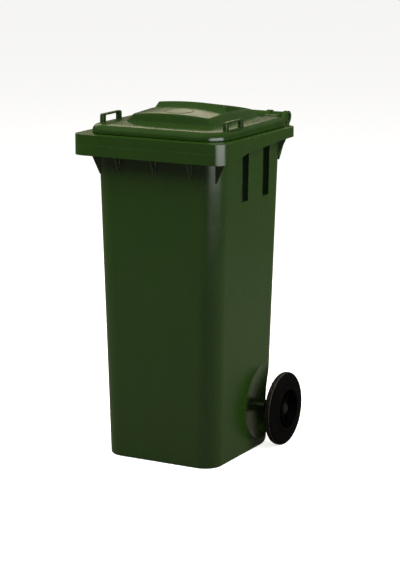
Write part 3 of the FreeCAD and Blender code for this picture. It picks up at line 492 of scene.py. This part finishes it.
# ---------------------------------------------------------------------------------------------
# Lid: loop handles
# ---------------------------------------------------------------------------------------------
HANDLE_X = 181.0
HANDLE_HALF_WIDTH = 5
HANDLE_FRONT = -155.0
HANDLE_REAR = -61.0
HANDLE_LOW = DECK - 3.2
HANDLE_HIGH = DECK + 20.5
HANDLE_LEG = 15.0
HANDLE_BAR = 5.0
HANDLE_SPLAY = 1.0
OUTER_BEND = 6
INNER_BEND = 2.5
BEND_STEPS = 6


def rounded_corner(y, z, radius):
    """Quarter circle that rounds the corner at (y, z), from its rear face to its top."""
    angles = [math.radians(90 * i / BEND_STEPS) for i in range(BEND_STEPS + 1)]
    return [(y - radius + radius * math.cos(a), z - radius + radius * math.sin(a)) for a in angles]


def mirrored_front(bend):
    """A bend and its mirror image in the handle's middle, so that the two make an arch."""
    return bend + [(HANDLE_FRONT + HANDLE_REAR - y, z) for y, z in reversed(bend)]


def make_handle(name, sign):
    """A loop handle: a flat strap bent over two legs, with soft edges."""
    outer = mirrored_front(rounded_corner(HANDLE_REAR, HANDLE_HIGH, OUTER_BEND))
    inner = mirrored_front(rounded_corner(HANDLE_REAR - HANDLE_LEG, HANDLE_HIGH - HANDLE_BAR, INNER_BEND))
    outer = [(HANDLE_REAR + HANDLE_SPLAY, HANDLE_LOW)] + outer + [(HANDLE_FRONT - HANDLE_SPLAY, HANDLE_LOW)]
    inner = [(HANDLE_REAR - HANDLE_LEG, HANDLE_LOW)] + inner + [(HANDLE_FRONT + HANDLE_LEG, HANDLE_LOW)]
    n = len(outer)
    points = []
    for x in (sign * HANDLE_X - HANDLE_HALF_WIDTH, sign * HANDLE_X + HANDLE_HALF_WIDTH):
        points += [(x, y, z) for y, z in outer + inner]
    faces = []
    for i in range(n - 1):
        faces.append((i, i + 1, n + i + 1, n + i))
        faces.append((2 * n + i, 3 * n + i, 3 * n + i + 1, 2 * n + i + 1))
        faces.append((i, 2 * n + i, 2 * n + i + 1, i + 1))
        faces.append((n + i, n + i + 1, 3 * n + i + 1, 3 * n + i))
    # The undersides of the rear and front feet
    faces.append((0, n, 3 * n, 2 * n))
    faces.append((n - 1, 3 * n - 1, 4 * n - 1, 2 * n - 1))
    handle = piece(name, points, faces, lid_hdpe, "lid")
    soften(handle, 1.1, 3, 40)
    return handle


# ---------------------------------------------------------------------------------------------
# Lid: hinge eyes on their arms
# ---------------------------------------------------------------------------------------------
EYE_NEAR = 121.3
EYE_FAR = 157.7
EYE_RADIUS = 13.0
EYE_BORE = 6.05
EYE_CHAMFER = 1.0
EYE_STEPS = 48
ARM_INSET = 1
# Along the arm: a place on Y and half the arm's height there
ARM_STATIONS = [(LID_REAR - 2, 8.6), (LID_REAR + 8, 8.2), (axis_y - 22, 7.6), (axis_y - 9, 7.2)]


def make_knuckle(name, sign):
    """A hinge eye round the hinge's axis."""
    profile = [
        (EYE_NEAR, EYE_BORE),
        (EYE_NEAR, EYE_RADIUS - EYE_CHAMFER),
        (EYE_NEAR + EYE_CHAMFER, EYE_RADIUS),
        (EYE_FAR - EYE_CHAMFER, EYE_RADIUS),
        (EYE_FAR, EYE_RADIUS - EYE_CHAMFER),
        (EYE_FAR, EYE_BORE),
    ]
    points, faces = lathe([(sign * x, r) for x, r in profile], EYE_STEPS)
    points = [(x, y + axis_y, z + axis_z) for x, y, z in points]
    if sign < 0:
        faces = turned_over(faces)
    return piece(name, points, faces, lid_hdpe, "lid")


def make_arm(name, sign):
    """The flat arm between the lid and a hinge eye, tapering to the eye."""
    near = EYE_NEAR + ARM_INSET
    far = EYE_FAR - ARM_INSET
    points = []
    for y, half in ARM_STATIONS:
        for x, z in ((near, -half), (far, -half), (far, half), (near, half)):
            points.append((sign * x, y, axis_z + z))
    faces = skin_faces(len(ARM_STATIONS), 4, around=False)
    faces += [(3, 2, 1, 0), tuple(len(points) - 4 + i for i in range(4))]
    if sign > 0:
        faces = turned_over(faces)
    arm = piece(name, points, faces, lid_hdpe, "lid")
    soften(arm, 1.5, 3, 40)
    return arm


# ---------------------------------------------------------------------------------------------
# Lid: plain oval line
# ---------------------------------------------------------------------------------------------
OVAL_Y = -66
OVAL_HALF_WIDTH = 39
OVAL_HALF_LENGTH = 34
OVAL_STEPS = 96
# The line's section: out from its middle, and up from the step
OVAL_SECTION = [(-1.6, -0.6), (-1.1, 0.45), (0.0, 0.8), (1.1, 0.45), (1.6, -0.6)]


def make_badge_ring():
    """A plain raised oval line moulded on the first step."""
    points = []
    for k in range(OVAL_STEPS):
        a = 2 * math.pi * k / OVAL_STEPS
        for out, rise in OVAL_SECTION:
            x = (OVAL_HALF_WIDTH + out) * math.cos(a)
            y = OVAL_Y + (OVAL_HALF_LENGTH + out) * math.sin(a)
            points.append((x, y, first_top(x, y) + rise))
    faces = [(a, d, c, b) for a, b, c, d in skin_faces(OVAL_STEPS, len(OVAL_SECTION), around=True)]
    return piece("plain_oval_ring", points, faces, lid_hdpe, "lid")


lid_shell = make_lid_shell()
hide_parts("lid")
lid_parts = [make_badge_ring()]
for side, sign in (("left", 1), ("right", -1)):
    lid_parts.append(make_handle("lid_handle_" + side, sign))
    lid_parts.append(make_knuckle("lid_knuckle_" + side, sign))
    lid_parts.append(make_arm("lid_arm_" + side, sign))

# ---------------------------------------------------------------------------------------------
# Tyres
# ---------------------------------------------------------------------------------------------
TYRE_STEPS = 120
# A face whose points all lie further out than this is tread
TREAD_RADIUS = 97.5


def tyre_profile(near, far):
    """Section of a solid tyre: grooved tread, soft shoulders, a stepped sidewall each side."""
    middle = (near + far) / 2
    half = (far - near) / 2
    # One half of the section, from the rim outwards and then along the tread to its middle
    right = [
        (half, 57.6),
        (half, 60.5),
        (half - 0.5, 61.5),
        (half - 1.6, 62.5),
        (half - 2.2, 66),
        (half - 4.6, 84),
        (half - 5.2, 86.5),
        (half - 5.0, 88.5),
        (half - 6.4, 93.5),
        (half - 7.6, 96.2),
        (half - 9.2, 97.9),
        (half - 11.4, 99.0),
        (half - 12.4, 99.2),
        (half - 12.8, 97.4),
        (half - 14.2, 97.4),
        (half - 14.5, 99.5),
        (0.9, 99.7),
        (0.6, 98.0),
    ]
    left = [(-x, r) for x, r in reversed(right)]
    return [(middle + x, r) for x, r in right + left]


def make_tyre(side):
    """A tyre that stands in for its CAD node, about the axle's line."""
    low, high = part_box("tyre_" + side)
    centre = (low + high) / 2 / MM
    profile = tyre_profile(low.x / MM, high.x / MM)
    points, faces = lathe(profile, TYRE_STEPS)
    points = [(x, y + centre.y, z + centre.z) for x, y, z in points]
    tyre = piece("solid_tyre_" + side, points, faces, rubber, "wheel_" + side)
    tyre.data.materials.append(tread_rubber)
    for face in tyre.data.polygons:
        if min(profile[i % len(profile)][1] for i in face.vertices) > TREAD_RADIUS:
            face.material_index = 1
    soften(tyre, 0.3, 2, 35)
    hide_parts("tyre_" + side)


for side in ("left", "right"):
    make_tyre(side)

# ---------------------------------------------------------------------------------------------
# Studio
# ---------------------------------------------------------------------------------------------
FLOOR_HALF = 30


def make_floor():
    """A paper floor that looks white, though the bin takes only a little light from it."""
    mesh = bpy.data.meshes.new("studio_floor")
    corners = [(-1, -1), (1, -1), (1, 1), (-1, 1)]
    mesh.from_pydata([(x * FLOOR_HALF, y * FLOOR_HALF, 0) for x, y in corners], [], [(0, 1, 2, 3)])
    floor = bpy.data.objects.new("studio_floor", mesh)
    bpy.context.scene.collection.objects.link(floor)
    look = bpy.data.materials.new("matt_white_paper")
    look.use_nodes = True
    tree = look.node_tree
    tree.nodes.remove(tree.nodes["Principled BSDF"])
    seen = add(tree, "ShaderNodeLightPath").outputs["Is Camera Ray"]
    dull = add(tree, "ShaderNodeBsdfDiffuse", Color=linear("5c5c58")).outputs[0]
    haze = add(tree, "ShaderNodeEmission", Color=linear("fff2da"), Strength=0.11).outputs[0]
    dim = add(tree, "ShaderNodeAddShader", links={0: dull, 1: haze}).outputs[0]
    white = add(tree, "ShaderNodeBsdfDiffuse", Color=linear("f2f2f0")).outputs[0]
    glow = add(tree, "ShaderNodeEmission", Color=linear("ffffff"), Strength=0.78).outputs[0]
    bright = add(tree, "ShaderNodeAddShader", links={0: white, 1: glow}).outputs[0]
    mixed = add(tree, "ShaderNodeMixShader", links={0: seen, 1: dim, 2: bright}).outputs[0]
    tree.links.new(mixed, tree.nodes["Material Output"].inputs["Surface"])
    mesh.materials.append(look)


def make_air():
    """A white backdrop to the camera, and a dim room to the bin: lighter from 13 to 25 degrees up."""
    world = bpy.data.worlds.new("studio_air")
    world.use_nodes = True
    tree = world.node_tree
    seen = add(tree, "ShaderNodeLightPath").outputs["Is Camera Ray"]
    way = add(tree, "ShaderNodeTexCoord").outputs["Generated"]
    height = add(tree, "ShaderNodeSeparateXYZ", Vector=way).outputs["Z"]
    level = add(
        tree, "ShaderNodeMapRange", links={0: height, 1: 0.22, 2: 0.42, 3: 0.05, 4: 0.16}
    ).outputs[0]
    air = add(tree, "ShaderNodeBackground", Color=linear("fffaf0"), Strength=level).outputs[0]
    backdrop = add(tree, "ShaderNodeBackground", Color=linear("ffffff"), Strength=1.05).outputs[0]
    mixed = add(tree, "ShaderNodeMixShader", links={0: seen, 1: air, 2: backdrop}).outputs[0]
    tree.links.new(mixed, tree.nodes["World Output"].inputs["Surface"])
    bpy.context.scene.world = world


def softbox(name, place, aim, width, height, watts, colour="ffffff", mirrored=True, lights=True):
    """A rectangular lamp facing a point; gloss shows it if mirrored, and it lights if lights."""
    lamp = bpy.data.lights.new(name, "AREA")
    lamp.shape = "RECTANGLE"
    lamp.size = width
    lamp.size_y = height
    lamp.energy = watts
    lamp.color = linear(colour)[:3]
    holder = bpy.data.objects.new(name, lamp)
    holder.location = place
    holder.rotation_euler = (Vector(aim) - Vector(place)).to_track_quat("-Z", "Y").to_euler()
    holder.visible_camera = False
    holder.visible_glossy = mirrored
    holder.visible_diffuse = lights
    bpy.context.scene.collection.objects.link(holder)


def make_lamps():
    """Three lamps that only light, one that only shows in gloss, and one behind that does both."""
    middle = (cad_low + cad_high) / 2
    softbox("right_softbox", (2.3, 0.75, 1.5), (0, 0, 0.6), 1.6, 1.8, 74, mirrored=False)
    softbox("corner_reflector", (1.08, -0.74, 0.98), (0.22, -0.22, 0.98), 1.5, 0.74, 25, lights=False)
    softbox("left_softbox", (-1.5, -1.9, 3.2), middle, 2.2, 2.2, 176, mirrored=False)
    softbox("overhead_softbox", (0.0, 0.2, 3.0), middle, 1.6, 1.6, 44, "fff0cc", mirrored=False)
    softbox("rear_softbox", (-2.4, 2.8, 2.16), (0, 0, 0.9), 2.6, 0.6, 9, "fff0d2")


CAMERA_PLACE = Vector((2.558, -4.600, 1.577))
CAMERA_LENS = 127.64
CAMERA_SENSOR = 36
CAMERA_REACH = 100
AZIMUTH = 28.84
ELEVATION = 12.16
ROLL = 0.02


def make_camera():
    """The studio camera, a little above the lid and round to the bin's left."""
    lens = bpy.data.cameras.new("studio_camera")
    lens.lens = CAMERA_LENS
    lens.sensor_width = CAMERA_SENSOR
    lens.clip_end = CAMERA_REACH
    camera = bpy.data.objects.new("studio_camera", lens)
    bpy.context.scene.collection.objects.link(camera)
    turn = Matrix.Rotation(math.radians(AZIMUTH), 4, "Z")
    tilt = Matrix.Rotation(math.radians(90 - ELEVATION), 4, "X")
    roll = Matrix.Rotation(math.radians(-ROLL), 4, "Z")
    camera.matrix_world = Matrix.Translation(CAMERA_PLACE) @ turn @ tilt @ roll
    bpy.context.scene.camera = camera


make_floor()
make_air()
bpy.context.scene.view_settings.view_transform = "Standard"
make_lamps()
make_camera()
